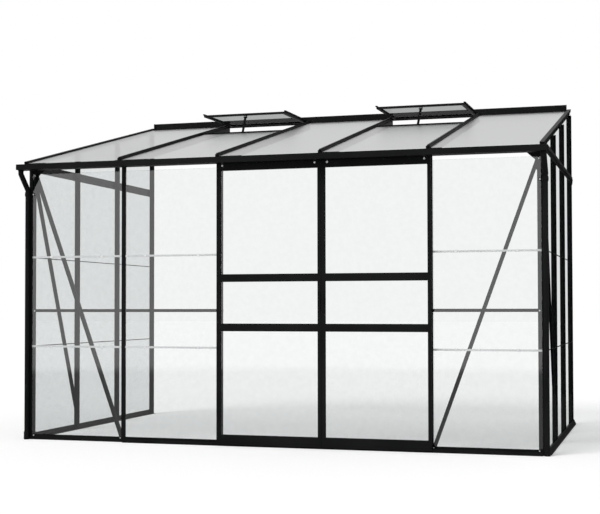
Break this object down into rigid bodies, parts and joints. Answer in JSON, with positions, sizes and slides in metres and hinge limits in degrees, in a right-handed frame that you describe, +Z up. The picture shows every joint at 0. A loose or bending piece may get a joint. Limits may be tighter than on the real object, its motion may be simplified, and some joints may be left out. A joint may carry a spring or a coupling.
{
  "type": "lean-to greenhouse",
  "caption": "Black aluminium lean-to greenhouse with sliding double doors, propped roof vents, a gutter and two downpipes.",
  "frame": {"origin": "middle of the footprint at ground level", "axes": "+X along the front to the right as seen from outside, +Y from the front to the house wall, +Z up"},
  "size_m": [3.164, 2.035, 2.1944],
  "materials": {
    "frame": "satin black powder coat",
    "glass": "clear",
    "wheel": "plain nylon"
  },
  "bodies": {
    "house": {"front_sill": "frame", "left_gable_sill": "frame", "right_gable_sill": "frame", "eave_gutter": "frame", "wall_plate": "frame", "left_corner_post": "frame", "right_corner_post": "frame", "left_wall_post": "frame", "right_wall_post": "frame", "front_bar": "frame", "left_door_post": "frame", "right_door_post": "frame", "left_gable_bar_1": "frame", "left_gable_bar_2": "frame", "right_gable_bar_1": "frame", "right_gable_bar_2": "frame", "left_eaves_rail": "frame", "right_eaves_rail": "frame", "left_corner_brace": "frame", "right_corner_brace": "frame", "front_mid_rail_left": "frame", "front_mid_rail_right": "frame", "rafter_1": "frame", "rafter_2": "frame", "rafter_3": "frame", "rafter_4": "frame", "rafter_5": "frame", "rafter_6": "frame", "vent_sill_2": "frame", "vent_sill_4": "frame", "left_downpipe": "frame", "right_downpipe": "frame", "front_glass_1": "glass", "front_glass_2": "glass", "front_glass_5": "glass", "left_gable_glass_1": "glass", "left_gable_glass_2": "glass", "left_gable_glass_3": "glass", "right_gable_glass_1": "glass", "right_gable_glass_2": "glass", "right_gable_glass_3": "glass", "roof_glass_1": "glass", "roof_glass_2": "glass", "roof_glass_3": "glass", "roof_glass_4": "glass", "roof_glass_5": "glass"},
    "left_door": {"left_door_frame": "frame", "left_door_glass": "glass"},
    "left_wheel_1": {"left_door_wheel_1": "wheel"},
    "left_wheel_2": {"left_door_wheel_2": "wheel"},
    "right_door": {"right_door_frame": "frame", "right_door_glass": "glass"},
    "right_wheel_1": {"right_door_wheel_1": "wheel"},
    "right_wheel_2": {"right_door_wheel_2": "wheel"},
    "vent_2": {"vent_frame_2": "frame", "vent_glass_2": "glass"},
    "stay_2": {"vent_stay_2": "frame"},
    "vent_4": {"vent_frame_4": "frame", "vent_glass_4": "glass"},
    "stay_4": {"vent_stay_4": "frame"}
  },
  "joints": [
    {"name": "left_door_slide", "type": "slide", "parent": "house", "child": "left_door", "axis": [-1, 0, 0], "range_m": [0, 0.6]},
    {"name": "right_door_slide", "type": "slide", "parent": "house", "child": "right_door", "axis": [1, 0, 0], "range_m": [0, 0.6]},
    {"name": "left_wheel_1_roll", "type": "hinge", "parent": "left_door", "child": "left_wheel_1", "pos_m": [-0.285, -0.9305, 1.6563], "axis": [0, 1, 0], "range_deg": [-3126, 0]},
    {"name": "left_wheel_2_roll", "type": "hinge", "parent": "left_door", "child": "left_wheel_2", "pos_m": [0.273, -0.9305, 1.6563], "axis": [0, 1, 0], "range_deg": [-3126, 0]},
    {"name": "right_wheel_1_roll", "type": "hinge", "parent": "right_door", "child": "right_wheel_1", "pos_m": [0.905, -0.9305, 1.6563], "axis": [0, 1, 0], "range_deg": [0, 3126]},
    {"name": "right_wheel_2_roll", "type": "hinge", "parent": "right_door", "child": "right_wheel_2", "pos_m": [0.347, -0.9305, 1.6563], "axis": [0, 1, 0], "range_deg": [0, 3126]},
    {"name": "vent_2_hinge", "type": "hinge", "parent": "house", "child": "vent_2", "pos_m": [-0.62, 0.9915, 2.15202], "axis": [-1, 0, 0], "range_deg": [-12.66, 0]},
    {"name": "stay_2_hinge", "type": "hinge", "parent": "vent_2", "child": "stay_2", "pos_m": [-0.62, 0.46379, 2.12892], "axis": [-1, 0, 0], "range_deg": [-92, 0]},
    {"name": "vent_4_hinge", "type": "hinge", "parent": "house", "child": "vent_4", "pos_m": [0.62, 0.9915, 2.15202], "axis": [-1, 0, 0], "range_deg": [-12.66, 0]},
    {"name": "stay_4_hinge", "type": "hinge", "parent": "vent_4", "child": "stay_4", "pos_m": [0.62, 0.46379, 2.12892], "axis": [-1, 0, 0], "range_deg": [-92, 0]}
  ],
  "couplings": [
    {"joint": "left_wheel_1_roll", "follows": "left_door_slide", "rad_per_m": -90.909},
    {"joint": "left_wheel_2_roll", "follows": "left_door_slide", "rad_per_m": -90.909},
    {"joint": "right_wheel_1_roll", "follows": "right_door_slide", "rad_per_m": 90.909},
    {"joint": "right_wheel_2_roll", "follows": "right_door_slide", "rad_per_m": 90.909},
    {"joint": "stay_2_hinge", "follows": "vent_2_hinge", "ratio": 7.267},
    {"joint": "stay_4_hinge", "follows": "vent_4_hinge", "ratio": 7.267}
  ]
}
